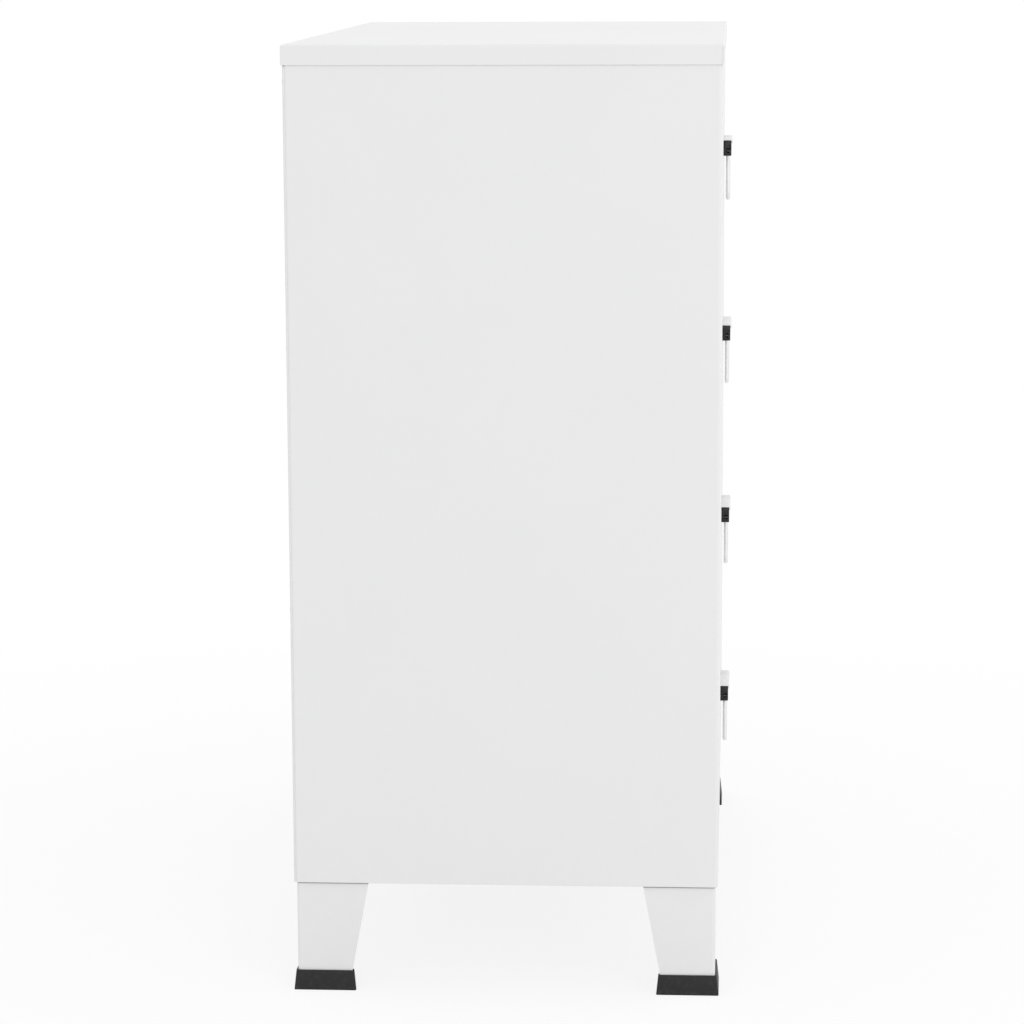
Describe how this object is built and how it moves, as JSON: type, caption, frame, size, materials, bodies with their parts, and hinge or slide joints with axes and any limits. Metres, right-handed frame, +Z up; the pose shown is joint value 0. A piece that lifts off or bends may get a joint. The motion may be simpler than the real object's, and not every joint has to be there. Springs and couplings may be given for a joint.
{
  "type": "metal drawer cabinet",
  "caption": "White steel drawer cabinet with flush inset drawers on ball slides, drop bail handles, a skirted lid and tapered sheet legs on black foot caps.",
  "frame": {"origin": "on the floor, under the middle of the whole object's box", "axes": "+Z up, +X to the cabinet's right as seen from the front, the drawers open towards -Y"},
  "size_m": [0.7828, 0.4106, 0.89],
  "materials": {
    "white_coat": "satin white powder coat",
    "foot_plastic": "matt moulded black",
    "bracket_black": "semi-gloss black",
    "bail_chrome": "bright nickel-chrome plate",
    "slide_zinc": "zinc-plated strip",
    "fastener_zinc": "zinc-plated"
  },
  "bodies": {
    "cabinet": {"left_side_panel": "white_coat", "right_side_panel": "white_coat", "back_panel": "white_coat", "bottom_panel": "white_coat", "lid": "white_coat", "top_rail": "white_coat", "cross_rail_1": "white_coat", "cross_rail_2": "white_coat", "cross_rail_3": "white_coat", "front_left_leg": "white_coat", "front_left_foot": "foot_plastic", "front_right_leg": "white_coat", "front_right_foot": "foot_plastic", "rear_left_leg": "white_coat", "rear_left_foot": "foot_plastic", "rear_right_leg": "white_coat", "rear_right_foot": "foot_plastic", "leg_bolts": "fastener_zinc", "back_screws": "fastener_zinc", "channel_screws": "fastener_zinc", "drawer_1_left_channel": "slide_zinc", "drawer_1_right_channel": "slide_zinc", "drawer_2_left_channel": "slide_zinc", "drawer_2_right_channel": "slide_zinc", "drawer_3_left_channel": "slide_zinc", "drawer_3_right_channel": "slide_zinc", "drawer_4_left_channel": "slide_zinc", "drawer_4_right_channel": "slide_zinc"},
    "drawer_1": {"drawer_1_front": "white_coat", "drawer_1_box": "white_coat", "drawer_1_handle_bracket": "bracket_black", "drawer_1_handle_screws": "fastener_zinc", "drawer_1_left_runner": "slide_zinc", "drawer_1_right_runner": "slide_zinc"},
    "drawer_1_bail": {"drawer_1_handle_bail": "bail_chrome"},
    "drawer_1_cages": {"drawer_1_ball_cages": "slide_zinc"},
    "drawer_2": {"drawer_2_front": "white_coat", "drawer_2_box": "white_coat", "drawer_2_handle_bracket": "bracket_black", "drawer_2_handle_screws": "fastener_zinc", "drawer_2_left_runner": "slide_zinc", "drawer_2_right_runner": "slide_zinc"},
    "drawer_2_bail": {"drawer_2_handle_bail": "bail_chrome"},
    "drawer_2_cages": {"drawer_2_ball_cages": "slide_zinc"},
    "drawer_3": {"drawer_3_front": "white_coat", "drawer_3_box": "white_coat", "drawer_3_handle_bracket": "bracket_black", "drawer_3_handle_screws": "fastener_zinc", "drawer_3_left_runner": "slide_zinc", "drawer_3_right_runner": "slide_zinc"},
    "drawer_3_bail": {"drawer_3_handle_bail": "bail_chrome"},
    "drawer_3_cages": {"drawer_3_ball_cages": "slide_zinc"},
    "drawer_4": {"drawer_4_front": "white_coat", "drawer_4_box": "white_coat", "drawer_4_handle_bracket": "bracket_black", "drawer_4_handle_screws": "fastener_zinc", "drawer_4_left_runner": "slide_zinc", "drawer_4_right_runner": "slide_zinc"},
    "drawer_4_bail": {"drawer_4_handle_bail": "bail_chrome"},
    "drawer_4_cages": {"drawer_4_ball_cages": "slide_zinc"}
  },
  "joints": [
    {"name": "drawer_1_slide", "type": "slide", "parent": "cabinet", "child": "drawer_1", "axis": [0, -1, 0], "range_m": [0, 0.26]},
    {"name": "drawer_1_cage_slide", "type": "slide", "parent": "cabinet", "child": "drawer_1_cages", "axis": [0, -1, 0], "range_m": [0, 0.13]},
    {"name": "drawer_1_bail_swing", "type": "hinge", "parent": "drawer_1", "child": "drawer_1_bail", "pos_m": [0, -0.2009, 0.77199], "axis": [-1, 0, 0], "range_deg": [-2.5, 90]},
    {"name": "drawer_2_slide", "type": "slide", "parent": "cabinet", "child": "drawer_2", "axis": [0, -1, 0], "range_m": [0, 0.26]},
    {"name": "drawer_2_cage_slide", "type": "slide", "parent": "cabinet", "child": "drawer_2_cages", "axis": [0, -1, 0], "range_m": [0, 0.13]},
    {"name": "drawer_2_bail_swing", "type": "hinge", "parent": "drawer_2", "child": "drawer_2_bail", "pos_m": [0, -0.2009, 0.58486], "axis": [-1, 0, 0], "range_deg": [-2.5, 90]},
    {"name": "drawer_3_slide", "type": "slide", "parent": "cabinet", "child": "drawer_3", "axis": [0, -1, 0], "range_m": [0, 0.26]},
    {"name": "drawer_3_cage_slide", "type": "slide", "parent": "cabinet", "child": "drawer_3_cages", "axis": [0, -1, 0], "range_m": [0, 0.13]},
    {"name": "drawer_3_bail_swing", "type": "hinge", "parent": "drawer_3", "child": "drawer_3_bail", "pos_m": [0, -0.2009, 0.39774], "axis": [-1, 0, 0], "range_deg": [-2.5, 90]},
    {"name": "drawer_4_slide", "type": "slide", "parent": "cabinet", "child": "drawer_4", "axis": [0, -1, 0], "range_m": [0, 0.26]},
    {"name": "drawer_4_cage_slide", "type": "slide", "parent": "cabinet", "child": "drawer_4_cages", "axis": [0, -1, 0], "range_m": [0, 0.13]},
    {"name": "drawer_4_bail_swing", "type": "hinge", "parent": "drawer_4", "child": "drawer_4_bail", "pos_m": [0, -0.2009, 0.21061], "axis": [-1, 0, 0], "range_deg": [-2.5, 90]}
  ],
  "couplings": [
    {"joint": "drawer_1_cage_slide", "follows": "drawer_1_slide", "ratio": 0.5},
    {"joint": "drawer_2_cage_slide", "follows": "drawer_2_slide", "ratio": 0.5},
    {"joint": "drawer_3_cage_slide", "follows": "drawer_3_slide", "ratio": 0.5},
    {"joint": "drawer_4_cage_slide", "follows": "drawer_4_slide", "ratio": 0.5}
  ]
}
